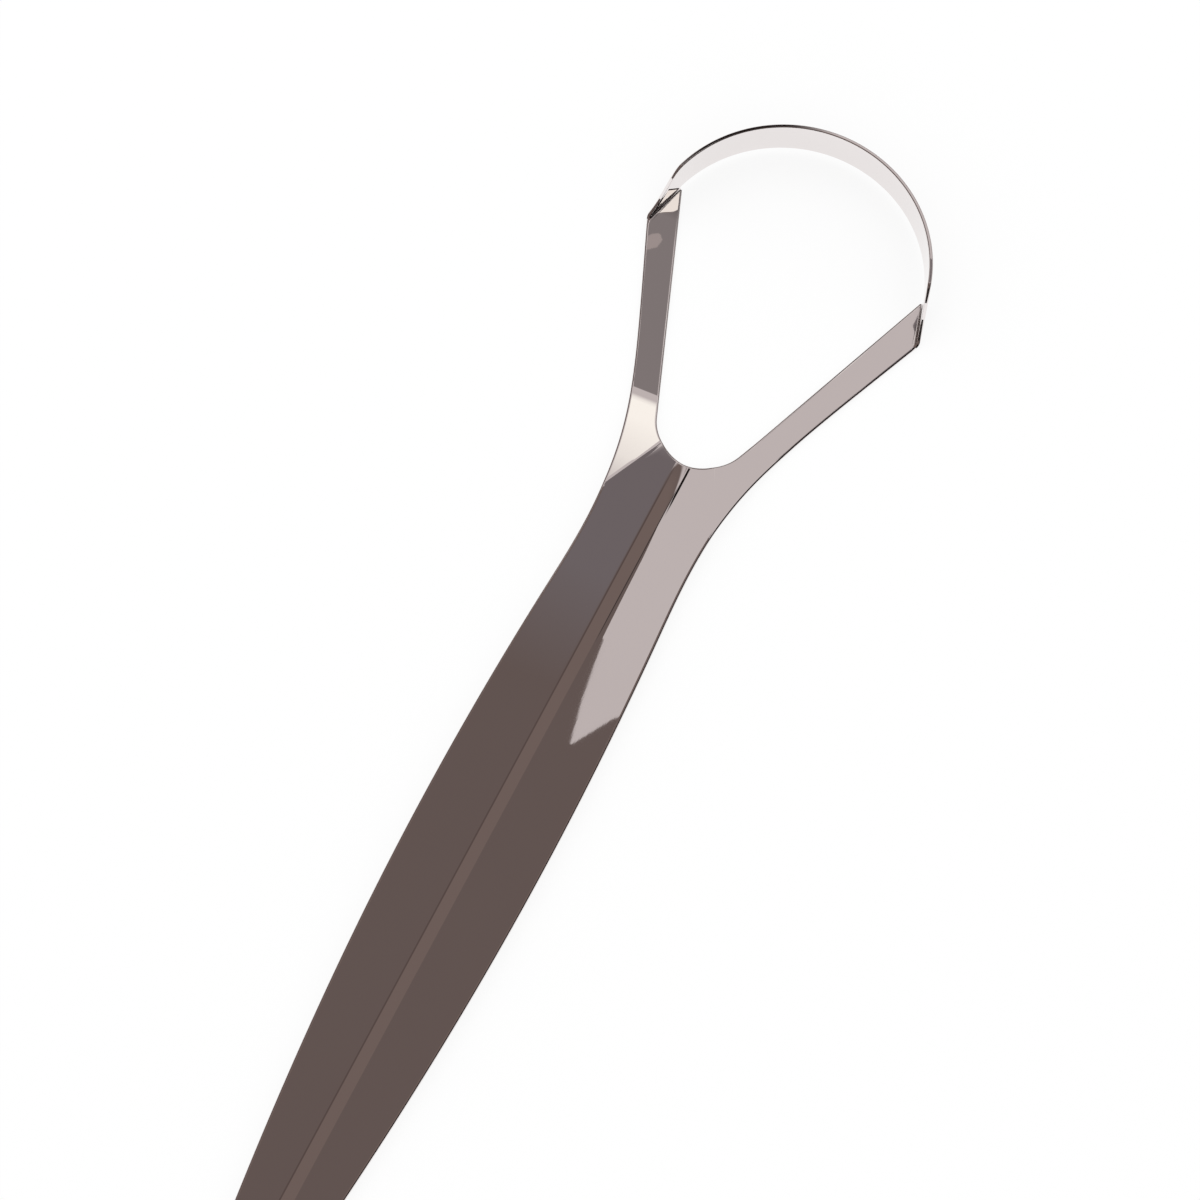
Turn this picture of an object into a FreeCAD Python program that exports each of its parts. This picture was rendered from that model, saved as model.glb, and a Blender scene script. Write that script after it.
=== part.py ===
import FreeCAD, Part
import math
import os

from FreeCAD import Vector

# A one-piece tongue scraper pressed from polished stainless sheet, lying on its back.
# X is across the tool, Y runs from the tail of the handle to the arch, Z is up.
# The nodes are the regions of the pressing between its own bend lines, face to face.

# Sheet
sheet = 0.6                     # thickness of the steel

# Handle: a blade with a shallow V along it, its crease lying on the table
handle_length = 122.0           # bottom of the fork to the tip of the tail
v_angle = 13.0                  # rise of each wing from level, degrees
crease_radius = 6.5             # inside radius of the crease
tail_radius = 5.8               # rounded end
tail_taper = 6.5                # lean of each side edge where it meets the rounded end, degrees
grip_half_width = 9.2           # widest place, where it is held
grip_from_fork = 70.0           # distances of these places from the bottom of the fork
neck_half_width = 8.45          # where the handle begins to draw in
neck_from_fork = 25.0
waist_half_width = 8.0          # narrowest place, below the fork
waist_from_fork = 13.5

# Fork and arms
fork_radius = 6.6               # round bottom of the opening
fork_half_width = 9.5           # outside edge level with the bottom of the fork
arm_half_width = 14.9           # outside edge at the middle of the arms
arm_station = 16.0              # where that is, from the bottom of the fork
ramp_start_outer = 8.0          # the arm leaves its wing here on the outside edge, below the fork
ramp_start_inner = 4.35         # and this far across at the level of the bottom of the fork
ramp_end = 7.0                  # the arm lies flat from here on, from the bottom of the fork

# Arch: an upright band bent round the tip
band_inner_radius = 19.35
arch_centre = 30.4              # centre of the arch from the bottom of the fork
fold_angle = 17.2               # lean of each fold line from the length of the tool, degrees
fold_radius = 0.3               # inside radius of the fold that turns the arm up into the band
band_height = 6.9               # lower rim to scraping rim
rim_above_fold = 0.1            # the lower rim starts this far above the end of the fold
arm_end_length = 7.1            # length of the fold line across the arm
rim_run = 0.2                   # from the inner end of that line to the start of the arch
rise_start = 0.45               # softness of the rims' rise over each shoulder, share of its run at the foot
rise_end = 0.3                  # and at the top

# Worked out from the sizes above
v_slope = math.tan(math.radians(v_angle))
band_outer_radius = band_inner_radius + sheet
fold_along = Vector(-math.sin(math.radians(fold_angle)), math.cos(math.radians(fold_angle)), 0)
fold_out = Vector(math.cos(math.radians(fold_angle)), math.sin(math.radians(fold_angle)), 0)
arch_start = Vector(0, arch_centre, 0) + fold_out * band_inner_radius
fold_foot = arch_start - fold_out * fold_radius
arm_outer_end = fold_foot - fold_along * (arm_end_length + rim_run)
arm_inner_end = arm_outer_end + fold_along * arm_end_length
far_rim = sheet + fold_radius + rim_above_fold
scraping_rim = far_rim + band_height
apex = arch_centre + band_outer_radius
middle = (apex - handle_length) / 2
reach = apex + handle_length    # larger than anything that is cut


def mirrored(point):
    return Vector(-point.x, point.y, point.z)


def line(start, end):
    return Part.LineSegment(start, end).toShape()


def arc(start, through, end):
    return Part.Arc(start, through, end).toShape()


def polygon_face(points):
    return Part.Face(Part.makePolygon(points + points[:1]))


def side_edge():
    """Right outside edge from the rounded tail to the outer end of the fold line."""
    lean = math.radians(tail_taper)
    tail_centre = Vector(0, tail_radius - handle_length, 0)
    tail_point = tail_centre + Vector(math.cos(lean), -math.sin(lean), 0) * tail_radius
    points = [
        tail_point,
        Vector(grip_half_width, -grip_from_fork, 0),
        Vector(neck_half_width, -neck_from_fork, 0),
        Vector(waist_half_width, -waist_from_fork, 0),
        Vector(fork_half_width, 0, 0),
        Vector(arm_half_width, arm_station, 0),
        arm_outer_end,
    ]
    curve = Part.BSplineCurve()
    last_run = (arm_outer_end - points[-2]).normalize()
    curve.interpolate(Points=points, InitialTangent=Vector(math.sin(lean), math.cos(lean), 0),
                      FinalTangent=last_run)
    return curve


def fork_round_end():
    """Where the round bottom of the opening runs into its straight right side."""
    centre = Vector(0, fork_radius, 0)
    to_arm = arm_inner_end - centre
    turn = math.atan2(to_arm.y, to_arm.x) - math.acos(fork_radius / to_arm.Length)
    return centre + Vector(math.cos(turn), math.sin(turn), 0) * fork_radius


def outline_prism():
    """The flat outline of handle and arms, up to the fold lines, as an upright prism."""
    right = side_edge().toShape()
    left = right.mirror(Vector(0, 0, 0), Vector(1, 0, 0))
    tail = right.Vertexes[0].Point
    round_end = fork_round_end()
    edges = [
        arc(mirrored(tail), Vector(0, -handle_length, 0), tail),
        right,
        line(arm_outer_end, arm_inner_end),
        line(arm_inner_end, round_end),
        arc(round_end, Vector(0, 0, 0), mirrored(round_end)),
        line(mirrored(round_end), mirrored(arm_inner_end)),
        line(mirrored(arm_inner_end), mirrored(arm_outer_end)),
        left,
    ]
    face = Part.Face(Part.Wire(Part.__sortEdges__(edges)))
    prism = face.extrude(Vector(0, 0, reach))
    prism.translate(Vector(0, 0, -reach / 2))
    return prism


def wing_height(across):
    """Height of the V's upper face over its crease."""
    lean = math.radians(v_angle)
    flat_from = crease_radius * math.sin(lean)
    return crease_radius * (1 - math.cos(lean)) + (across - flat_from) * v_slope


def v_blade():
    """The V section drawn along the whole length, one sheet thick."""
    lean = math.radians(v_angle)
    bend = crease_radius * math.sin(lean)
    half = band_outer_radius        # wider than the blade anywhere
    upper = [
        Vector(-half, -reach, sheet + wing_height(half)),
        Vector(-bend, -reach, sheet + wing_height(bend)),
        Vector(bend, -reach, sheet + wing_height(bend)),
        Vector(half, -reach, sheet + wing_height(half)),
    ]
    crease = Vector(0, -reach, 0)
    down = Vector(0, 0, sheet)
    lower = [point - down for point in upper]
    edges = [
        line(upper[0], upper[1]),
        arc(upper[1], crease + down, upper[2]),
        line(upper[2], upper[3]),
        line(upper[3], lower[3]),
        line(lower[3], lower[2]),
        arc(lower[2], crease, lower[1]),
        line(lower[1], lower[0]),
        line(lower[0], upper[0]),
    ]
    return Part.Face(Part.Wire(edges)).extrude(Vector(0, 2 * reach, 0))


def ramp_lines():
    """Right bend lines of the arm's root on the upper face: leaving the wing, then lying flat."""
    inner = Vector(ramp_start_inner, 0, sheet + wing_height(ramp_start_inner))
    outer = Vector(waist_half_width, -ramp_start_outer, sheet + wing_height(waist_half_width))
    round_end = fork_round_end()
    straight = arm_inner_end - round_end
    flat_inner = round_end + straight * ((ramp_end - round_end.y) / straight.y) + Vector(0, 0, sheet)
    normal = (outer - inner).cross(flat_inner - inner)
    level = normal.cross(Vector(0, 0, 1)).normalize()
    return inner, outer, flat_inner, level


def beyond(point, along, forward):
    """Upright block on the forward side of the vertical plane through a point along a direction."""
    along = Vector(along.x, along.y, 0).normalize() * reach
    start = Vector(point.x, point.y, -reach)
    ahead = Vector(forward.x, forward.y, 0) * 2 * reach
    face = polygon_face([start - along, start + along, start + along + ahead, start - along + ahead])
    return face.extrude(Vector(0, 0, 2 * reach))


def arm_region():
    """Upright block that holds everything ahead of the right wing's bend line."""
    inner, outer, flat_inner, level = ramp_lines()
    right_half = Part.makeBox(reach, 2 * reach, 2 * reach, Vector(0, -reach, -reach))
    return beyond(inner, inner - outer, Vector(1, 1, 0)).common(right_half)


def handle(outline):
    """The V blade inside the outline, up to the bend lines where the arms leave its wings."""
    right = arm_region()
    left = right.mirror(Vector(0, 0, 0), Vector(1, 0, 0))
    return v_blade().common(outline).cut(right).cut(left)


def right_arm(outline):
    """Sloping root beside the fork, then the flat arm up to the fold line, bent as one strip."""
    inner, outer, flat_inner, level = ramp_lines()
    strip = outline.common(arm_region())
    flat_part = beyond(flat_inner, level, Vector(0, 1, 0))
    along_bend = (outer - inner).normalize() * reach
    ahead = (flat_inner - inner).normalize() * reach
    root_face = polygon_face([inner - along_bend - ahead, inner + along_bend - ahead,
                              inner + along_bend + ahead, inner - along_bend + ahead])
    root_slab = root_face.extrude(Vector(0, 0, -sheet))
    root = root_slab.common(strip).cut(flat_part)
    level_slab = Part.makeBox(2 * reach, 2 * reach, sheet, Vector(-reach, -reach, 0))
    flat_arm = level_slab.common(strip).common(flat_part)
    return root.fuse(flat_arm).removeSplitter()


def soft_rise(y_start, z_start, y_end, z_end):
    """Side view of a rim that leaves one level and eases into the other."""
    run = Vector(0, y_end - y_start, 0)
    start = Vector(-reach, y_start, z_start)
    end = Vector(-reach, y_end, z_end)
    curve = Part.BezierCurve()
    curve.setPoles([start, start + run * rise_start, end - run * rise_end, end])
    return curve.toShape(), start, end


def side_block(rise, start, end, z_far):
    """Everything between a rising rim and a far level, right through the tool from side to side."""
    ahead = Vector(-reach, reach, end.z)
    far_end = Vector(-reach, reach, z_far)
    far_start = Vector(-reach, start.y, z_far)
    edges = [rise, line(end, ahead), line(ahead, far_end), line(far_end, far_start), line(far_start, start)]
    return Part.Face(Part.Wire(edges)).extrude(Vector(2 * reach, 0, 0))


def right_shoulder():
    """Quarter bend along the oblique fold line, and the upright wall that grows out of it."""
    up = Vector(0, 0, 1)
    bend_axis = fold_foot + up * (sheet + fold_radius)
    thick = up * sheet
    section = polygon_face([arm_outer_end, fold_foot, fold_foot + thick, arm_outer_end + thick])
    bend = section.revolve(bend_axis, fold_along * -1, 90)
    foot = arm_outer_end + fold_out * fold_radius + up * bend_axis.z
    head = arch_start + up * bend_axis.z
    base = polygon_face([foot, head, head + fold_out * sheet, foot + fold_out * sheet])
    wall = base.extrude(up * (scraping_rim - bend_axis.z))
    above = side_block(*soft_rise(arm_outer_end.y, sheet, arch_start.y, scraping_rim), reach)
    below = side_block(*soft_rise(arm_inner_end.y, sheet, arch_start.y, far_rim), -reach)
    return bend.fuse(wall).cut(above).cut(below).removeSplitter()


def scraping_band():
    """Upright ring sector from one arch start over the tip to the other."""
    inner = arch_start + Vector(0, 0, far_rim)
    outer = inner + fold_out * sheet
    rise = Vector(0, 0, band_height)
    section = polygon_face([inner, outer, outer + rise, inner + rise])
    return section.revolve(Vector(0, arch_centre, 0), Vector(0, 0, 1), 180 - 2 * fold_angle)


os.makedirs("parts", exist_ok=True)
blank = outline_prism()
nodes = {"handle": handle(blank), "right_arm": right_arm(blank), "right_shoulder": right_shoulder(),
         "scraping_band": scraping_band()}
for name in ("arm", "shoulder"):
    nodes["left_" + name] = nodes["right_" + name].mirror(Vector(0, 0, 0), Vector(1, 0, 0))
for name, shape in nodes.items():
    shape.translate(Vector(0, -middle, 0))
    print(name, shape.isValid(), len(shape.Solids), round(shape.Volume, 2), shape.BoundBox)
    shape.exportStep("parts/" + name + ".step")
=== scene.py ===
import math

import bmesh
import bpy
import numpy as np
from mathutils import Matrix, Vector, kdtree


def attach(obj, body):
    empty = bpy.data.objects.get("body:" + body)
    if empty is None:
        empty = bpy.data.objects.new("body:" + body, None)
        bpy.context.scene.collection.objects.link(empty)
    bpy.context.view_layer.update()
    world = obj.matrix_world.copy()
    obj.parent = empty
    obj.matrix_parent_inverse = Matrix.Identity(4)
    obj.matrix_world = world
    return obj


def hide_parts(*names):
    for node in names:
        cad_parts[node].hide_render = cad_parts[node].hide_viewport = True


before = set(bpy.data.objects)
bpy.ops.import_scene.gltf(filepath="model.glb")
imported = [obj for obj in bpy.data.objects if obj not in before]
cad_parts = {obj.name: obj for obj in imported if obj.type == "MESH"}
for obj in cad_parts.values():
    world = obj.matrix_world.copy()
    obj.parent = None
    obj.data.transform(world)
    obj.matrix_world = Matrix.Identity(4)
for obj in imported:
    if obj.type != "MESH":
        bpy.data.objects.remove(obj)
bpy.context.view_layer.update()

# The pressing's sizes in millimetres. The bottom of the fork is y = 0 and the table is z = 0.
MM = 0.001
SHEET = 0.6
HANDLE_LENGTH = 122.0
V_ANGLE = math.radians(13.0)
CREASE_RADIUS = 6.5
TAIL_RADIUS = 5.8
TAIL_TAPER = math.radians(6.5)
GRIP = (9.2, -70.0)
NECK = (8.45, -25.0)
WAIST = (8.0, -13.5)
FORK_RADIUS = 6.6
FORK_SIDE = (9.5, 0.0)
ARM_SIDE = (14.9, 16.0)
RAMP_OUTER = (8.0, -8.0)
RAMP_INNER = (4.35, 0.0)
RAMP_END = 7.0
BAND_RADIUS = 19.35
ARCH_CENTRE = np.array((0.0, 30.4))
FOLD_ANGLE = math.radians(17.2)
FOLD_RADIUS = 0.3
BAND_HEIGHT = 6.9
RIM_ABOVE_FOLD = 0.1
ARM_END_LENGTH = 7.1
RIM_RUN = 0.2
RISE_START = 0.45
RISE_END = 0.3

# Softness that polishing leaves on the sheet
RIM_WIDTH = 0.32                # how far the rounding of an edge reaches onto the faces
RIM_DEPTH = 0.20                # and down the cut edge
BEND_BLEND = 0.10               # rounding of the bend between wing and root, as a height
FLAT_BLEND = 0.22               # and of the softer bend between root and arm
WING_HOLLOW = 0.0020            # sideways hollow of the wings, height per square millimetre
ROOT_REACH = 6.0                # the bends of the roots end this far behind their outer points

# Mesh density: points on curves and across a face, steps round edges, cross-sections along each stretch
EDGE_POINTS = 2000
FORK_POINTS = 400
RIM_POINTS = 400
ACROSS = 41
RIM_STEPS = 8
CORNER_STEPS = 12
WALL_STEPS = 32
TAIL_STATIONS = 25
BLADE_STATIONS = 61
NECK_STATIONS = 25
FORK_STATIONS = 13
ROOT_STATIONS = 33
ARM_STATIONS = 33
SHOULDER_STATIONS = 61
BAND_STATIONS = 49
FORK_STRETCH = 2.6              # length of outside edge that shares its cross-sections with the fork
CREASE_BUNCH = 0.5              # crowding of the handle's rows towards the crease
FOLD_BUNCH = 0.85               # crowding of the shoulder's rows towards the narrow fold
RIM_SUPPORT = 0.008             # share of the width between an edge's rounding and the next row

# Small limits
ON_MIDDLE = 0.005               # millimetres from the middle plane that count as on it
WELD = 1e-7                     # metres between points that are the same
NO_LENGTH = 1e-7                # least length that a direction is divided by
CAP_LIMIT = 0.3                 # a corner turned further than this from its face is on a cap
NUDGE = 1e-4                    # step for the slopes of a surface
LEAST_CORNER = 0.01             # millimetres of the smallest corner radius of a card

# Steel: its own grey in two tones mixed at random, warmed towards pink as a painted reflection of skin
STEEL_SLOT = "polished_steel"
STEEL_AND_SKIN_DARK = (0.820, 0.776, 0.768)
STEEL_AND_SKIN_LIGHT = (0.850, 0.806, 0.798)
ROUGHNESS_RANGE = (0.008, 0.016)
POLISH_SCALE = (2600.0, 160.0, 2600.0)
POLISH_STRENGTH = 0.004
POLISH_DEPTH = 0.00002
POLISH_DETAIL = 6.0
CLOUD_SCALE = 60.0
CLOUD_DETAIL = 3.0

# Studio, in metres
FLOOR_COLOUR = (0.93, 0.93, 0.93)
FLOOR_HALF = 3.0
FLOOR_DROP = -0.00003
FLOOR_GLOW = 0.85               # share of plain white in what is seen of the floor
WORLD_COLOUR = (1.0, 1.0, 1.0)
LAMP_PLACE = (-0.35, 0.45, 0.8)
LAMP_SIZE = 0.6
LAMP_POWER = 1.0

# Walls round the studio that the polished faces mirror, in metres:
# compass range in degrees from +X, height, height where the fading starts, colour
WALL_RADIUS = 0.9
WALLS = {
    "dark_wall_right": ((-80.0, 40.0), 1.90, 1.50, (0.03, 0.025, 0.025)),
    "brown_wall_left": ((40.0, 280.0), 0.95, 0.80, (0.12, 0.095, 0.088)),
}

# Camera: tilts of the scraper in the view in degrees, sizes in millimetres
VIEW_PITCH = 16.466
VIEW_ROLL = 7.509
VIEW_TURN = -28.302
VIEW_SHIFT = (11.311, 18.371)
VIEW_DISTANCE = 561.5
VIEW_SCALE = 7.4016             # photograph pixels to a millimetre at that distance
PHOTO_WIDTH = 1200
SENSOR = 36.0
CLIP_START = 0.01               # metres

# Cards over the scraper that its polished faces mirror, in millimetres from the bottom of the fork:
# range across, range along, corner radii across and along, softness of the border, height, colour
PALE = (0.600, 0.553, 0.548)
BROWN = (0.143, 0.111, 0.103)
SLATE = (0.172, 0.150, 0.156)
UMBER = (0.180, 0.137, 0.124)
SHADE = (0.101, 0.074, 0.068)
LINE = (0.051, 0.039, 0.037)
BLACK = (0.011, 0.008, 0.008)
GREY = (0.244, 0.218, 0.217)
GLINT = (0.39, 0.34, 0.33)
CREAM = (1.13, 1.11, 1.04)
CARDS = {
    "pale_card": ((-420, 420), (-60, 420), (20, 20), 20, 275.7, PALE),
    "brown_card": ((-420, 420), (-320, 93), (20, 20), 1.5, 275.6, BROWN),
    "dark_card_left": ((-420, -215), (85, 420), (10, 10), 20, 275.5, BROWN),
    "dark_card_right": ((118, 420), (-320, 300), (10, 10), 16, 275.4, BLACK),
    "slate_card": ((62, 130), (55, 110), (10, 10), 26, 275.5, SLATE),
    "umber_card": ((-105, 40), (-320, 91), (10, 10), 8, 275.4, UMBER),
    "shade_card": ((40, 56), (-320, 90), (6, 6), 8, 275.3, SHADE),
    "rim_card": ((-2, 24), (104, 118), (4, 4), 2, 275.4, LINE),
    "line_card": ((-120, -107), (58, 95), (5, 8), 3, 275.1, LINE),
    "black_card": ((-150, -116), (93, 106), (10, 6), 3, 275.0, BLACK),
    "grey_card": ((-68, -42), (97, 139.5), (4, 4), 2, 275.3, GREY),
    "grey_card_edge": ((-104, -60), (97, 124), (4, 4), 3, 275.35, GREY),
    "grey_card_end": ((-33, -22), (52.7, 62), (1, 1), 0.4, 60, GREY),
    "black_card_rim": ((-32, -8), (46, 68), (3, 3), 6, 30, BLACK),
    "cream_card_shoulder": ((-1.5, 5), (45, 53), (1, 1), 0.6, 60, CREAM),
}

# Cards with a free outline: rows of along, across from, across to and share of opacity,
# then height and colour
ROW_CARDS = {
    "tongue_card": (
        (
            (43.5, -182.0, -181.8, 1),
            (53.0, -185.7, -180.2, 1),
            (67.0, -192.0, -178.7, 1),
            (72.5, -194.0, -171.6, 1),
            (83.0, -198.0, -150.0, 1),
            (87.0, -200.0, -117.0, 1),
            (100.0, -205.0, -100.0, 1),
        ),
        275.2,
        PALE,
    ),
    "cream_card_root": (
        (
            (158.0, -66.0, -49.0, 0),
            (168.0, -66.0, -50.5, 0.7),
            (178.0, -66.0, -51.0, 1),
            (188.0, -66.0, -51.0, 1),
        ),
        275.2,
        CREAM,
    ),
    "bend_card": (
        (
            (92.5, 60.0, 94.0, 1),
            (126.0, 0.0, 32.0, 1),
            (132.0, -2.0, 19.0, 1),
            (138.5, -3.5, 9.0, 1),
            (142.9, -7.0, 4.0, 1),
            (146.5, -7.0, 1.0, 1),
            (152.0, -13.5, -8.0, 1),
        ),
        275.3,
        SLATE,
    ),
    "glint_card": (
        (
            (132.6, -64.6, -63.6, 1),
            (134.0, -65.8, -62.1, 1),
            (136.0, -64.6, -61.9, 1),
            (136.9, -63.4, -62.8, 1),
        ),
        275.2,
        GLINT,
    ),
}

# Worked out from the sizes above
V_SLOPE = math.tan(V_ANGLE)
FOLD_ALONG = np.array((-math.sin(FOLD_ANGLE), math.cos(FOLD_ANGLE)))
FOLD_OUT = np.array((math.cos(FOLD_ANGLE), math.sin(FOLD_ANGLE)))
ARCH_START = ARCH_CENTRE + FOLD_OUT * BAND_RADIUS
FOLD_FOOT = ARCH_START - FOLD_OUT * FOLD_RADIUS
ARM_OUTER_END = FOLD_FOOT - FOLD_ALONG * (ARM_END_LENGTH + RIM_RUN)
ARM_INNER_END = ARM_OUTER_END + FOLD_ALONG * ARM_END_LENGTH
FOLD_RUN = FOLD_RADIUS * math.pi / 2
FAR_RIM = SHEET + FOLD_RADIUS + RIM_ABOVE_FOLD
SCRAPING_RIM = FAR_RIM + BAND_HEIGHT
APEX = ARCH_CENTRE[1] + BAND_RADIUS + SHEET
FRAME_SHIFT = np.array((0.0, (HANDLE_LENGTH - APEX) / 2, 0.0))
TAIL_CENTRE = np.array((0.0, TAIL_RADIUS - HANDLE_LENGTH))


def distances(points):
    """Distance along a run of points to each of them."""
    return np.concatenate(([0.0], np.cumsum(np.linalg.norm(np.diff(points, axis=0), axis=1))))


def smooth_spline(points, first_way, last_way, count):
    """Points of a cubic spline through a few points, with set directions at its ends."""
    points = np.array(points, float)
    knots = distances(points)
    gaps = np.diff(knots)
    last = len(points) - 1
    matrix = np.zeros((last + 1, last + 1))
    right_side = np.zeros((last + 1, 2))
    matrix[0, 0] = matrix[last, last] = 1.0
    right_side[0], right_side[last] = first_way, last_way
    for i in range(1, last):
        before, after = gaps[i - 1], gaps[i]
        matrix[i, i - 1:i + 2] = after, 2 * (before + after), before
        right_side[i] = 3 * (before * (points[i + 1] - points[i]) / after
                             + after * (points[i] - points[i - 1]) / before)
    slopes = np.linalg.solve(matrix, right_side)
    at = np.linspace(0.0, knots[-1], count)
    span = np.clip(np.searchsorted(knots, at, side="right") - 1, 0, last - 1)
    share = ((at - knots[span]) / gaps[span])[:, None]
    step = gaps[span][:, None]
    here = (1 + 2 * share) * (1 - share) ** 2 * points[span]
    leaving = share * (1 - share) ** 2 * step * slopes[span]
    there = share ** 2 * (3 - 2 * share) * points[span + 1]
    arriving = share ** 2 * (share - 1) * step * slopes[span + 1]
    return here + leaving + there + arriving


def side_edge():
    """Right outside edge from the rounded tail to the outer end of the fold line."""
    lean = np.array((math.sin(TAIL_TAPER), math.cos(TAIL_TAPER)))
    start = TAIL_CENTRE + np.array((lean[1], -lean[0])) * TAIL_RADIUS
    last_run = ARM_OUTER_END - np.array(ARM_SIDE)
    points = [start, GRIP, NECK, WAIST, FORK_SIDE, ARM_SIDE, ARM_OUTER_END]
    return smooth_spline(points, lean, last_run / np.linalg.norm(last_run), EDGE_POINTS)


def fork_edge():
    """Right edge of the opening from the bottom of the fork to the inner end of the fold line."""
    centre = np.array((0.0, FORK_RADIUS))
    to_arm = ARM_INNER_END - centre
    length = np.linalg.norm(to_arm)
    turn = math.atan2(to_arm[1], to_arm[0]) - math.acos(FORK_RADIUS / length)
    angles = np.linspace(-math.pi / 2, turn, FORK_POINTS)
    round_part = centre + FORK_RADIUS * np.stack((np.cos(angles), np.sin(angles)), axis=1)
    share = np.linspace(0.0, 1.0, FORK_POINTS)[1:, None]
    return np.concatenate((round_part, round_part[-1] + share * (ARM_INNER_END - round_part[-1])))


def normals_of(points):
    """Unit normals to the right of a run of points."""
    ways = np.gradient(points, axis=0)
    ways = ways / np.linalg.norm(ways, axis=1)[:, None]
    return np.stack((ways[:, 1], -ways[:, 0]), axis=1)


def resample(points, start, end, count):
    """Evenly spaced points, with their normals, between two distances along a run."""
    along = distances(points)
    at = np.linspace(start, end, count)
    normals = normals_of(points)
    place = np.stack([np.interp(at, along, points[:, i]) for i in (0, 1)], axis=1)
    normal = np.stack([np.interp(at, along, normals[:, i]) for i in (0, 1)], axis=1)
    return place, normal / np.linalg.norm(normal, axis=1)[:, None]


def crossing(points, origin, way):
    """Distance along a run of points where it crosses a line."""
    along = distances(points)
    offset = points - np.array(origin)
    side = offset[:, 0] * way[1] - offset[:, 1] * way[0]
    hits = np.nonzero(np.diff(np.sign(side)))[0]
    i = hits[np.argmin(np.linalg.norm(points[hits] - np.array(origin), axis=1))]
    share = side[i] / (side[i] - side[i + 1])
    return along[i] + share * (along[i + 1] - along[i])


def wing_height(across):
    """Height of the V's upper face over its crease."""
    across = np.abs(across)
    bend = CREASE_RADIUS * math.sin(V_ANGLE)
    in_crease = CREASE_RADIUS - np.sqrt(np.maximum(CREASE_RADIUS ** 2 - across ** 2, 0.0))
    on_wing = CREASE_RADIUS * (1 - math.cos(V_ANGLE)) + (across - bend) * V_SLOPE
    hollow = WING_HOLLOW * np.maximum(across - bend, 0.0) ** 2
    return np.where(across < bend, in_crease, on_wing + hollow)


def ramp_plane():
    """Root of the right arm: a point, the slopes, a point at its flat end, the way of its level lines."""
    inner = np.array((*RAMP_INNER, wing_height(RAMP_INNER[0])))
    outer = np.array((*RAMP_OUTER, wing_height(RAMP_OUTER[0])))
    edge = fork_edge()
    past_end = np.argmax(edge[:, 1] > RAMP_END)
    flat = np.array((*edge[past_end], 0.0))
    normal = np.cross(outer - inner, flat - inner)
    slopes = -normal[:2] / normal[2]
    return inner, slopes, flat[:2], np.array((slopes[1], -slopes[0]))


RAMP_POINT, RAMP_SLOPES, RAMP_FLAT, RAMP_LEVEL = ramp_plane()


def smooth_least(a, b, blend):
    """The lesser of two heights, rounded where they cross."""
    share = np.clip(0.5 + 0.5 * (b - a) / blend, 0.0, 1.0)
    return b + (a - b) * share - blend * share * (1 - share)


def front_height(x, y):
    """Upper face of handle and arms over the table."""
    x = np.abs(x)
    ramp = RAMP_POINT[2] + RAMP_SLOPES[0] * (x - RAMP_POINT[0]) + RAMP_SLOPES[1] * (y - RAMP_POINT[1])
    level = -smooth_least(-ramp, np.zeros_like(ramp), FLAT_BLEND)
    bent = smooth_least(wing_height(x), level, BEND_BLEND)
    near_fork = y > RAMP_OUTER[1] - ROOT_REACH
    return SHEET + np.where(near_fork, bent, wing_height(x))


def blade(a, b, depth):
    """Handle and arms: place in plan on the middle of the sheet, and depth below its face, to a point."""
    height = front_height(a, b)
    slope_x = (front_height(a + NUDGE, b) - front_height(a - NUDGE, b)) / (2 * NUDGE)
    slope_y = (front_height(a, b + NUDGE) - front_height(a, b - NUDGE)) / (2 * NUDGE)
    reach = (SHEET / 2 - depth) / np.sqrt(1 + slope_x ** 2 + slope_y ** 2)
    return np.stack((a - reach * slope_x, b - reach * slope_y, height - SHEET / 2 + reach), axis=-1)


def fold(a, b, depth):
    """Shoulder: distances along and across the fold on the unbent sheet, and depth, to a point."""
    angle = np.clip(b / FOLD_RADIUS, 0.0, math.pi / 2)
    flat_run = np.minimum(b, 0.0)
    wall_run = np.maximum(b - FOLD_RUN, 0.0)
    radius = FOLD_RADIUS + depth
    out = flat_run + radius * np.sin(angle)
    up = SHEET + FOLD_RADIUS - radius * np.cos(angle) + wall_run
    plan = ARM_OUTER_END + a[..., None] * FOLD_ALONG + out[..., None] * FOLD_OUT
    return np.concatenate((plan, up[..., None]), axis=-1)


def arch(a, b, depth):
    """Band: angle round the arch, height and depth to a point."""
    radius = BAND_RADIUS + depth
    plan = np.stack((np.cos(a) * radius, np.sin(a) * radius), axis=-1) + ARCH_CENTRE
    return np.concatenate((plan, b[..., None]), axis=-1)


def rim_profile():
    """Round an edge from front to back: distance in, depth, and the normal's share out and up."""
    angles = np.linspace(0.0, math.pi / 2, RIM_STEPS + 1)[1:]
    distance, depth = RIM_WIDTH * (1 - np.sin(angles)), RIM_DEPTH * (1 - np.cos(angles))
    out, up = np.sin(angles) / RIM_WIDTH, np.cos(angles) / RIM_DEPTH
    length = np.hypot(out, up)
    front = np.stack((distance, depth, out / length, up / length), axis=1)
    back = front[::-1] * (1, -1, 1, -1) + (0, SHEET, 0, 0)
    return np.concatenate((front, back))


def unit(ways):
    """Directions at length one."""
    return ways / np.maximum(np.linalg.norm(ways, axis=-1, keepdims=True), NO_LENGTH)


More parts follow.
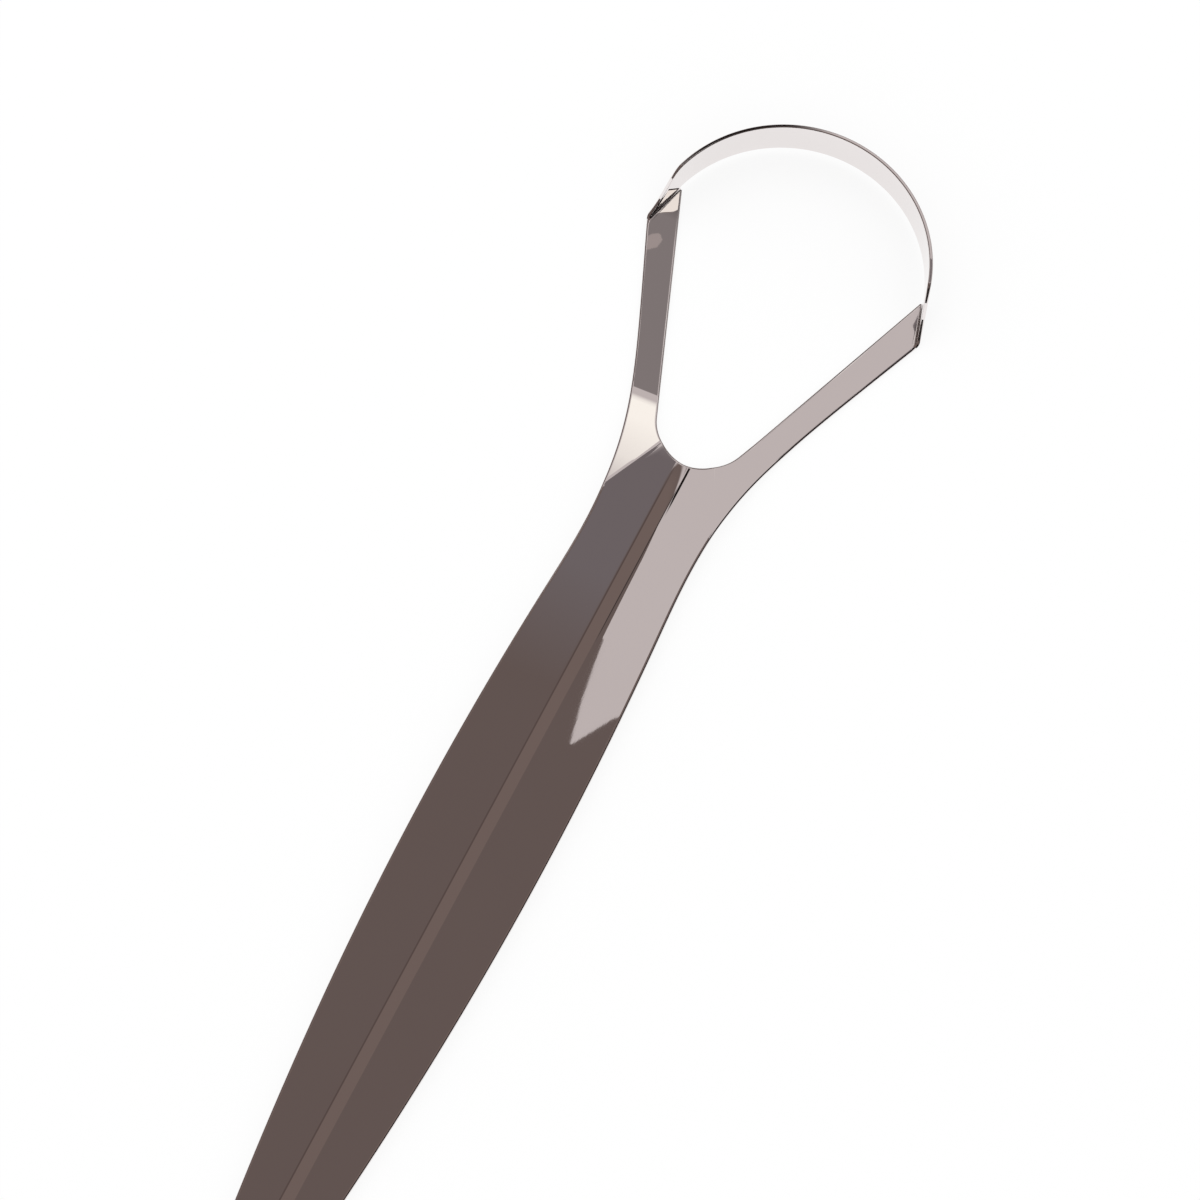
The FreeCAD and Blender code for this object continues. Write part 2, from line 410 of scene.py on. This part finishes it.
def normals_on(surface, plan, depth, way, out, up):
    """Normals of the skin: a share out over the edge and a share of the face's own normal."""
    a, b = plan[..., 0], plan[..., 1]
    along_a = (surface(a + NUDGE, b, depth) - surface(a - NUDGE, b, depth)) / (2 * NUDGE)
    along_b = (surface(a, b + NUDGE, depth) - surface(a, b - NUDGE, depth)) / (2 * NUDGE)
    rise = surface(a, b, depth - NUDGE) - surface(a, b, depth)
    face = unit(np.cross(along_a, along_b))
    face = face * np.sign(np.sum(face * rise, axis=-1, keepdims=True))
    over_edge = unit(along_a * way[..., :1] + along_b * way[..., 1:])
    return unit(over_edge * out[None, :, None] + face * up[None, :, None])


def loops(surface, inner, outer, bunch=0.0):
    """Closed cross-sections of the ribbon between inner and outer edge points: places, then normals."""
    (inner_at, inner_normal), (outer_at, outer_normal) = inner, outer
    profile = rim_profile()
    start = inner_at - inner_normal * RIM_WIDTH
    end = outer_at - outer_normal * RIM_WIDTH
    share = np.concatenate(([0.0], np.linspace(RIM_SUPPORT, 1 - RIM_SUPPORT, ACROSS - 2), [1.0]))
    share = ((1 - bunch) * share + bunch * share ** 2)[None, :, None]
    face = start[:, None] + share * (end - start)[:, None]
    outer_rim = outer_at[:, None] - outer_normal[:, None] * profile[None, :, :1]
    inner_rim = inner_at[:, None] - inner_normal[:, None] * profile[None, ::-1, :1]
    plan = np.concatenate((face, outer_rim, face[:, ::-1], inner_rim), axis=1)
    flat = np.zeros_like(face)
    over_outer = np.repeat(outer_normal[:, None], len(profile), axis=1)
    over_inner = np.repeat(inner_normal[:, None], len(profile), axis=1)
    way = np.concatenate((flat, over_outer, flat, over_inner), axis=1)
    front, back = np.tile((0.0, 0.0, 1.0), (ACROSS, 1)), np.tile((SHEET, 0.0, -1.0), (ACROSS, 1))
    depth, out, up = np.concatenate((front, profile[:, 1:], back, profile[::-1, 1:])).T
    depth = np.broadcast_to(depth, plan.shape[:2])
    place = surface(plan[..., 0], plan[..., 1], depth)
    return np.concatenate((place, normals_on(surface, plan, depth, way, out, up)), axis=-1)


FRONT_AND_BACK = 2 * ACROSS + 2 * RIM_STEPS


def handle_loops():
    """Right half of the handle, from the tip of the tail to the bend line of the arm's root."""
    edge = side_edge()
    bend_way = np.array(RAMP_OUTER) - np.array(RAMP_INNER)
    to_bend = crossing(edge, RAMP_OUTER, bend_way)
    to_neck = crossing(edge, NECK, (1.0, 0.0))
    to_fork = to_bend - FORK_STRETCH
    angles = np.linspace(-math.pi / 2, -TAIL_TAPER, TAIL_STATIONS)
    tail = TAIL_CENTRE + TAIL_RADIUS * np.stack((np.cos(angles), np.sin(angles)), axis=1)
    tail_normal = (tail - TAIL_CENTRE) / TAIL_RADIUS
    blade_at, blade_normal = resample(edge, 0.0, to_neck, BLADE_STATIONS)
    neck_at, neck_normal = resample(edge, to_neck, to_fork, NECK_STATIONS)
    fork_at, fork_normal = resample(edge, to_fork, to_bend, FORK_STATIONS)
    outer_at = np.concatenate((tail, blade_at[1:], neck_at[1:], fork_at[1:]))
    outer_normal = np.concatenate((tail_normal, blade_normal[1:], neck_normal[1:], fork_normal[1:]))
    spine = np.concatenate((
        np.full(len(tail), TAIL_CENTRE[1]),
        np.linspace(TAIL_CENTRE[1], NECK[1], len(blade_at))[1:],
        np.linspace(NECK[1], 0.0, len(neck_at))[1:]))
    on_spine = len(spine)
    opening = fork_edge()
    to_root = crossing(opening, RAMP_INNER, bend_way)
    ring_at, ring_normal = resample(opening, 0.0, to_root, FORK_STATIONS)
    spine_at = np.stack((np.zeros(on_spine), spine), axis=1)
    inner_at = np.concatenate((spine_at, ring_at[1:]))
    inner_normal = np.concatenate((np.zeros((on_spine - 1, 2)), -ring_normal))
    sections = loops(blade, (inner_at, inner_normal), (outer_at, outer_normal), CREASE_BUNCH)
    return sections, on_spine - 1


def arm_loops():
    """Right arm from the bend line of its root to the fold line."""
    edge, opening = side_edge(), fork_edge()
    bend_way = np.array(RAMP_OUTER) - np.array(RAMP_INNER)
    outer_marks = [crossing(edge, RAMP_OUTER, bend_way), crossing(edge, RAMP_FLAT, RAMP_LEVEL)]
    inner_marks = [crossing(opening, RAMP_INNER, bend_way), crossing(opening, RAMP_FLAT, RAMP_LEVEL)]
    outer_root = resample(edge, *outer_marks, ROOT_STATIONS)
    inner_root = resample(opening, *inner_marks, ROOT_STATIONS)
    outer_flat = resample(edge, outer_marks[1], distances(edge)[-1], ARM_STATIONS)
    inner_flat = resample(opening, inner_marks[1], distances(opening)[-1], ARM_STATIONS)
    outer = [np.concatenate((a, b[1:])) for a, b in zip(outer_root, outer_flat)]
    inner = [np.concatenate((a, b[1:])) for a, b in zip(inner_root, inner_flat)]
    inner[1] = -inner[1]
    return loops(blade, inner, outer)


def rim_curve(start_y, end_y, end_z):
    """Edge of the shoulder on the unbent sheet, rising softly from the table to the height of a rim."""
    share = np.linspace(0.0, 1.0, RIM_POINTS)
    eased = (3 * RISE_START * share * (1 - share) ** 2 + 3 * (1 - RISE_END) * share ** 2 * (1 - share)
             + share ** 3)
    y = start_y + (end_y - start_y) * eased
    rise = (end_z - SHEET) * (3 * share ** 2 - 2 * share ** 3)
    angle = np.arccos(np.clip(1 - rise / FOLD_RADIUS, 0.0, 1.0))
    across = FOLD_RADIUS * angle + np.maximum(rise - FOLD_RADIUS, 0.0)
    out = FOLD_RADIUS * np.sin(angle)
    along = (y - ARM_OUTER_END[1] - out * FOLD_OUT[1]) / FOLD_ALONG[1]
    return np.stack((along, across), axis=1)


def shoulder_loops():
    """Right shoulder from the fold line of the flat arm to the start of the arch."""
    upper = rim_curve(ARM_OUTER_END[1], ARCH_START[1], SCRAPING_RIM)
    lower = rim_curve(ARM_INNER_END[1], ARCH_START[1], FAR_RIM)
    outer_at, outer_normal = resample(upper, 0.0, distances(upper)[-1], SHOULDER_STATIONS)
    inner_at, inner_normal = resample(lower, 0.0, distances(lower)[-1], SHOULDER_STATIONS)
    return loops(fold, (inner_at, inner_normal), (outer_at, -outer_normal), FOLD_BUNCH)


def band_loops():
    """Right half of the band from the start of the arch to its tip."""
    angles = np.linspace(FOLD_ANGLE, math.pi / 2, BAND_STATIONS)
    lower = np.stack((angles, np.full(BAND_STATIONS, FAR_RIM)), axis=1)
    upper = np.stack((angles, np.full(BAND_STATIONS, SCRAPING_RIM)), axis=1)
    up = np.tile((0.0, 1.0), (BAND_STATIONS, 1))
    return loops(arch, (lower, -up), (upper, up))


def ribbon():
    """Cross-sections of the right half by piece, shared at the seams, and where the crease ends."""
    handle, fork_station = handle_loops()
    arm, shoulder, band = arm_loops(), shoulder_loops(), band_loops()
    arm[0], shoulder[0], band[0] = handle[-1], arm[-1], shoulder[-1]
    pieces = {"handle": handle, "arm": arm, "shoulder": shoulder, "band": band}
    for points in pieces.values():
        points[np.abs(points[..., 0]) < ON_MIDDLE, 0] = 0.0
    return pieces, fork_station


def side_faces(points, skip_inner_until, flip):
    """Quads round the ribbon. Cross-sections before a station have no inner edge."""
    count, size = points.shape[:2]
    faces = []
    for k in range(count - 1):
        last = FRONT_AND_BACK - 1 if k < skip_inner_until else size
        for j in range(last):
            after = (j + 1) % size
            face = (k * size + j, k * size + after, (k + 1) * size + after, (k + 1) * size + j)
            faces.append(face[::-1] if flip else face)
    return faces


def cap_faces(station, size, flip):
    """Ladder of quads across one cross-section, where a piece meets the next."""
    ring = [station * size + (j - RIM_STEPS) % size for j in range(size)]
    steps = range(size // 2 - 1)
    faces = [(ring[i], ring[i + 1], ring[size - 2 - i], ring[size - 1 - i]) for i in steps]
    return [face[::-1] for face in faces] if flip else faces


def half_mesh(points, mirror, skip_inner_until=0, cap_start=False, cap_end=False):
    """Places in metres in the shared frame, normals, side faces and caps of one half of a piece."""
    side = np.array((-1, 1, 1) if mirror else (1, 1, 1))
    place = (points[..., :3] + FRAME_SHIFT) * MM * side
    normal = points[..., 3:] * side
    size = points.shape[1]
    caps = []
    if cap_start:
        caps += cap_faces(0, size, not mirror)
    if cap_end:
        caps += cap_faces(points.shape[0] - 1, size, mirror)
    sides = side_faces(points, skip_inner_until, mirror)
    return place.reshape(-1, 3), normal.reshape(-1, 3), sides, caps


def joined(halves):
    """Several halves as one list of places and faces, side faces first."""
    places, sides, caps = [], [], []
    base = 0
    for place, _, side, cap in halves:
        places.append(place)
        sides += [tuple(i + base for i in face) for face in side]
        caps += [tuple(i + base for i in face) for face in cap]
        base += len(place)
    return np.concatenate(places), sides + caps


def welded(name, place, faces):
    """A mesh with coincident vertices joined and faces without area dropped."""
    mesh = bpy.data.meshes.new(name)
    mesh.from_pydata(place.tolist(), [], faces)
    work = bmesh.new()
    work.from_mesh(mesh)
    bmesh.ops.remove_doubles(work, verts=work.verts, dist=WELD)
    bmesh.ops.dissolve_degenerate(work, edges=work.edges, dist=WELD)
    work.to_mesh(mesh)
    work.free()
    return mesh


def pressing_normals(all_halves):
    """Normals of the whole pressing, looked up by place, so that no seam shows between pieces."""
    places = np.concatenate([half[0] for half in all_halves])
    normals = np.concatenate([half[1] for half in all_halves])
    tree = kdtree.KDTree(len(places))
    for i, place in enumerate(places):
        tree.insert(place, i)
    tree.balance()
    return lambda point: Vector(normals[tree.find(point)[1]])


def add_piece(name, node, halves, normal_at, material):
    """One named piece of the pressing, closed at its seams, standing for its CAD node."""
    mesh = welded(name, *joined(halves))
    ways = []
    for face in mesh.polygons:
        face.use_smooth = True
    for face in mesh.polygons:
        flat_way = face.normal.copy()
        for corner in face.vertices:
            smooth_way = normal_at(mesh.vertices[corner].co)
            ways.append(smooth_way if smooth_way.dot(flat_way) > CAP_LIMIT else flat_way)
    mesh.normals_split_custom_set(ways)
    mesh.materials.append(material)
    piece = bpy.data.objects.new(name, mesh)
    bpy.context.scene.collection.objects.link(piece)
    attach(piece, "root")
    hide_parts(node)


def build_pressing(material):
    """All six pieces with one run of normals over them."""
    pieces, fork_station = ribbon()
    both = (False, True)
    plan = {
        "handle": [half_mesh(pieces["handle"], mirror, fork_station, cap_end=True) for mirror in both],
        "scraping_band": [half_mesh(pieces["band"], mirror, cap_start=True) for mirror in both],
    }
    for side, mirror in (("right", False), ("left", True)):
        for part in ("arm", "shoulder"):
            plan[f"{side}_{part}"] = [half_mesh(pieces[part], mirror, cap_start=True, cap_end=True)]
    normal_at = pressing_normals([half for halves in plan.values() for half in halves])
    for node, halves in plan.items():
        add_piece("polished_" + node, node, halves, normal_at, material)


def steel_material():
    """Mirror-polished stainless steel with faint lengthwise polishing marks, its base colour warmed
    towards pink by a painted reflection of skin.
    """
    material = bpy.data.materials.new(STEEL_SLOT)
    material.use_nodes = True
    nodes, links = material.node_tree.nodes, material.node_tree.links
    shader = nodes["Principled BSDF"]
    shader.inputs["Metallic"].default_value = 1.0
    place = nodes.new("ShaderNodeTexCoord")
    stretch = nodes.new("ShaderNodeMapping")
    stretch.inputs["Scale"].default_value = POLISH_SCALE
    links.new(place.outputs["Object"], stretch.inputs["Vector"])
    marks = nodes.new("ShaderNodeTexNoise")
    marks.inputs["Scale"].default_value = 1.0
    marks.inputs["Detail"].default_value = POLISH_DETAIL
    links.new(stretch.outputs["Vector"], marks.inputs["Vector"])
    sheen = nodes.new("ShaderNodeMapRange")
    sheen.inputs["To Min"].default_value = ROUGHNESS_RANGE[0]
    sheen.inputs["To Max"].default_value = ROUGHNESS_RANGE[1]
    links.new(marks.outputs["Fac"], sheen.inputs["Value"])
    links.new(sheen.outputs["Result"], shader.inputs["Roughness"])
    cloud = nodes.new("ShaderNodeTexNoise")
    cloud.inputs["Scale"].default_value = CLOUD_SCALE
    cloud.inputs["Detail"].default_value = CLOUD_DETAIL
    links.new(place.outputs["Object"], cloud.inputs["Vector"])
    tint = nodes.new("ShaderNodeValToRGB")
    # Painted reflection: the pinkish warmth of both steel tones stands in for skin mirrored in the steel;
    # the random mix between them is the steel's own tone
    tint.color_ramp.elements[0].color = (*STEEL_AND_SKIN_DARK, 1.0)
    tint.color_ramp.elements[1].color = (*STEEL_AND_SKIN_LIGHT, 1.0)
    links.new(cloud.outputs["Fac"], tint.inputs["Fac"])
    links.new(tint.outputs["Color"], shader.inputs["Base Color"])
    bump = nodes.new("ShaderNodeBump")
    bump.inputs["Strength"].default_value = POLISH_STRENGTH
    bump.inputs["Distance"].default_value = POLISH_DEPTH
    links.new(marks.outputs["Fac"], bump.inputs["Height"])
    links.new(bump.outputs["Normal"], shader.inputs["Normal"])
    return material


def rounded_rectangle(half_x, half_y, radius_x, radius_y):
    """Outline about the origin with rounded corners, in order."""
    points = []
    for quarter in range(4):
        turn = quarter * math.pi / 2
        sign_x = 1 if quarter in (0, 3) else -1
        sign_y = 1 if quarter in (0, 1) else -1
        for i in range(CORNER_STEPS + 1):
            angle = turn + i * math.pi / 2 / CORNER_STEPS
            points.append((sign_x * (half_x - radius_x) + radius_x * math.cos(angle),
                           sign_y * (half_y - radius_y) + radius_y * math.sin(angle)))
    return points


def card_material(name, colour):
    """A plain glowing card that fades out at its border."""
    material = bpy.data.materials.new(name)
    material.use_nodes = True
    nodes, links = material.node_tree.nodes, material.node_tree.links
    nodes.remove(nodes["Principled BSDF"])
    glow = nodes.new("ShaderNodeEmission")
    glow.inputs["Color"].default_value = (*colour, 1.0)
    clear = nodes.new("ShaderNodeBsdfTransparent")
    fade = nodes.new("ShaderNodeAttribute")
    fade.attribute_name = "fade"
    mix = nodes.new("ShaderNodeMixShader")
    links.new(fade.outputs["Fac"], mix.inputs["Fac"])
    links.new(clear.outputs["BSDF"], mix.inputs[1])
    links.new(glow.outputs["Emission"], mix.inputs[2])
    links.new(mix.outputs["Shader"], nodes["Material Output"].inputs["Surface"])
    return material


def mirrored_only(thing):
    """Keep a studio piece out of everything but mirror reflections."""
    bpy.context.scene.collection.objects.link(thing)
    for kind in ("camera", "diffuse", "transmission", "volume_scatter", "shadow"):
        setattr(thing, "visible_" + kind, False)


def fading_mesh(name, places, faces, fades, colour):
    """A glowing mesh with a share of opacity at each point."""
    mesh = bpy.data.meshes.new(name)
    mesh.from_pydata(places, [], faces)
    mesh.attributes.new("fade", "FLOAT", "POINT").data.foreach_set("value", fades)
    mesh.materials.append(card_material(name, colour))
    return bpy.data.objects.new(name, mesh)


def card(name, across, along, corner, soft, height, colour):
    """A level card over the scraper, soft at its border. Sizes in millimetres."""
    half_x, half_y = (across[1] - across[0]) / 2, (along[1] - along[0]) / 2
    outlines = []
    for grow in (soft / 2, -soft / 2):
        radii = [max(radius + grow, LEAST_CORNER) for radius in corner]
        outlines += rounded_rectangle(half_x + grow, half_y + grow, *radii)
    count = len(outlines) // 2
    places = [(x * MM, y * MM, 0.0) for x, y in outlines]
    faces = [(i, (i + 1) % count, count + (i + 1) % count, count + i) for i in range(count)]
    faces.append(tuple(range(count, 2 * count)))
    board = fading_mesh(name, places, faces, [0.0] * count + [1.0] * count, colour)
    centre = (sum(across) / 2, sum(along) / 2, height)
    board.location = [c * MM for c in FRAME_SHIFT + centre]
    mirrored_only(board)


def row_card(name, rows, height, colour):
    """A level card over the scraper with a free outline. Sizes in millimetres."""
    places, fades = [], []
    for along, start, end, fade in rows:
        places += [(start * MM, along * MM, 0.0), (end * MM, along * MM, 0.0)]
        fades += [fade, fade]
    faces = [(2 * i, 2 * i + 1, 2 * i + 3, 2 * i + 2) for i in range(len(rows) - 1)]
    board = fading_mesh(name, places, faces, fades, colour)
    board.location = [c * MM for c in FRAME_SHIFT + (0.0, 0.0, height)]
    mirrored_only(board)


def wall(name, compass, height, fade_from, colour):
    """An upright wall round part of the studio, fading out at its top. Sizes in metres."""
    angles = [math.radians(a) for a in np.linspace(*compass, WALL_STEPS + 1)]
    count = len(angles)
    places, fades, faces = [], [], []
    for level, fade in ((0.0, 1.0), (fade_from, 1.0), (height, 0.0)):
        places += [(WALL_RADIUS * math.cos(a), WALL_RADIUS * math.sin(a), level) for a in angles]
        fades += [fade] * count
    for first in (0, count):
        for i in range(first, first + WALL_STEPS):
            faces.append((i, i + 1, i + 1 + count, i + count))
    mirrored_only(fading_mesh(name, places, faces, fades, colour))


def floor_material():
    """Plain pale floor that takes the part's shadow."""
    material = bpy.data.materials.new("pale_floor")
    material.use_nodes = True
    shader = material.node_tree.nodes["Principled BSDF"]
    shader.inputs["Base Color"].default_value = (*FLOOR_COLOUR, 1.0)
    shader.inputs["Roughness"].default_value = 1.0
    shader.inputs["Specular IOR Level"].default_value = 0.0
    nodes, links = material.node_tree.nodes, material.node_tree.links
    ray = nodes.new("ShaderNodeLightPath")
    seen = nodes.new("ShaderNodeMath")
    links.new(ray.outputs["Is Camera Ray"], seen.inputs[0])
    links.new(ray.outputs["Is Glossy Ray"], seen.inputs[1])
    share = nodes.new("ShaderNodeMath")
    share.operation = "MULTIPLY"
    share.inputs[1].default_value = FLOOR_GLOW
    links.new(seen.outputs["Value"], share.inputs[0])
    white = nodes.new("ShaderNodeEmission")
    mix = nodes.new("ShaderNodeMixShader")
    links.new(share.outputs["Value"], mix.inputs["Fac"])
    links.new(shader.outputs["BSDF"], mix.inputs[1])
    links.new(white.outputs["Emission"], mix.inputs[2])
    links.new(mix.outputs["Shader"], nodes["Material Output"].inputs["Surface"])
    return material


def build_floor():
    """Level floor just under the part."""
    half = FLOOR_HALF
    corners = [(-half, -half, 0), (half, -half, 0), (half, half, 0), (-half, half, 0)]
    mesh = bpy.data.meshes.new("floor")
    mesh.from_pydata(corners, [], [(0, 1, 2, 3)])
    mesh.materials.append(floor_material())
    floor = bpy.data.objects.new("floor", mesh)
    floor.location.z = FLOOR_DROP
    bpy.context.scene.collection.objects.link(floor)


def build_light():
    """White surroundings and one broad soft lamp."""
    world = bpy.data.worlds.new("surroundings")
    bpy.context.scene.world = world
    world.use_nodes = True
    background = world.node_tree.nodes["Background"]
    background.inputs["Color"].default_value = (*WORLD_COLOUR, 1.0)
    background.inputs["Strength"].default_value = 1.0
    data = bpy.data.lights.new("soft_lamp", "AREA")
    data.shape = "DISK"
    data.size = LAMP_SIZE
    data.energy = LAMP_POWER
    lamp = bpy.data.objects.new("soft_lamp", data)
    lamp.location = LAMP_PLACE
    lamp.rotation_euler = (-Vector(LAMP_PLACE)).to_track_quat("-Z", "Y").to_euler()
    lamp.visible_glossy = False
    bpy.context.scene.collection.objects.link(lamp)


def build_camera():
    """Camera at the photograph's viewing angle, from the tilts of the scraper in its view."""
    pitch, roll, turn = (math.radians(a) for a in (VIEW_PITCH, VIEW_ROLL, VIEW_TURN))
    tilt = Matrix.Rotation(turn, 3, "Z") @ Matrix.Rotation(-pitch, 3, "X")
    tilt = tilt @ Matrix.Rotation(-roll, 3, "Y")
    back_to_frame = tilt.transposed()
    place = back_to_frame @ Vector((-VIEW_SHIFT[0], -VIEW_SHIFT[1], VIEW_DISTANCE))
    place = (place + Vector(FRAME_SHIFT) + Vector((0, 0, SHEET))) * MM
    data = bpy.data.cameras.new("camera")
    data.sensor_width = SENSOR
    data.lens = VIEW_SCALE * VIEW_DISTANCE * SENSOR / PHOTO_WIDTH
    data.clip_start = CLIP_START
    camera = bpy.data.objects.new("camera", data)
    camera.matrix_world = Matrix.Translation(place) @ back_to_frame.to_4x4()
    bpy.context.scene.collection.objects.link(camera)
    bpy.context.scene.camera = camera


def build_cards():
    """Cards and walls that the polished faces mirror."""
    for name, values in CARDS.items():
        card(name, *values)
    for name, values in ROW_CARDS.items():
        row_card(name, *values)
    for name, values in WALLS.items():
        wall(name, *values)


build_pressing(steel_material())
build_floor()
build_light()
build_cards()
build_camera()
bpy.context.scene.view_settings.view_transform = "Standard"
